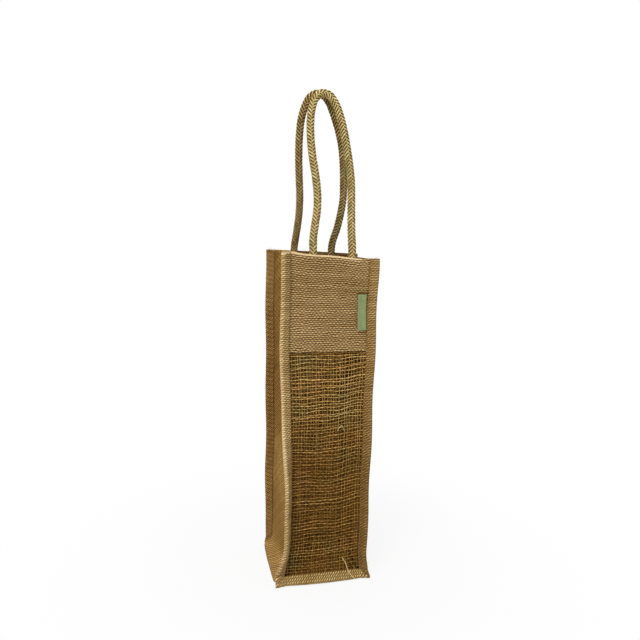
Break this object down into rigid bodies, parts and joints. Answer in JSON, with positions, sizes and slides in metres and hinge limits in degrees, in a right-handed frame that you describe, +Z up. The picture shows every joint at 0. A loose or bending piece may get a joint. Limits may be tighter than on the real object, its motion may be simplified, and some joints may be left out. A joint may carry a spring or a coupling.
{
  "type": "bottle gift bag",
  "caption": "Tall square bottle gift bag of coarse woven cloth with outward seam flanges, a netted front window and rope loop handles.",
  "frame": {"origin": "on the floor under the middle of the bag", "axes": "+X across the front to the right, +Y from the netted front to the back, +Z up"},
  "size_m": [0.1016, 0.103, 0.5163],
  "materials": {
    "panel_cloth": "coarse plain-woven jute, tan brown, matt",
    "gusset_cloth": "coarse plain-woven jute, darker brown, matt",
    "net_twine": "open net of thin jute twine, matt",
    "binding_cloth": "folded jute strip, tan, matt",
    "rope": "thick braided jute rope, olive straw, matt",
    "label_ribbon": "folded sage green ribbon, satin"
  },
  "bodies": {
    "bag": {"front_header": "panel_cloth", "window_net": "net_twine", "back_panel": "panel_cloth", "left_gusset": "gusset_cloth", "right_gusset": "gusset_cloth", "base_panel": "gusset_cloth", "front_binding_left": "binding_cloth", "front_binding_right": "binding_cloth", "front_binding_base": "binding_cloth", "back_binding_left": "binding_cloth", "back_binding_right": "binding_cloth", "back_binding_base": "binding_cloth", "front_handle_left_end": "rope", "front_handle_right_end": "rope", "back_handle_left_end": "rope", "back_handle_right_end": "rope", "label": "label_ribbon"},
    "front_loop": {"front_handle": "rope"},
    "back_loop": {"back_handle": "rope"}
  },
  "joints": [
    {"name": "front_handle_swing", "type": "hinge", "parent": "bag", "child": "front_loop", "pos_m": [0, -0.0366, 0.3544], "axis": [1, 0, 0], "range_deg": [0, 100]},
    {"name": "back_handle_swing", "type": "hinge", "parent": "bag", "child": "back_loop", "pos_m": [0, 0.0366, 0.3544], "axis": [-1, 0, 0], "range_deg": [0, 100]}
  ]
}
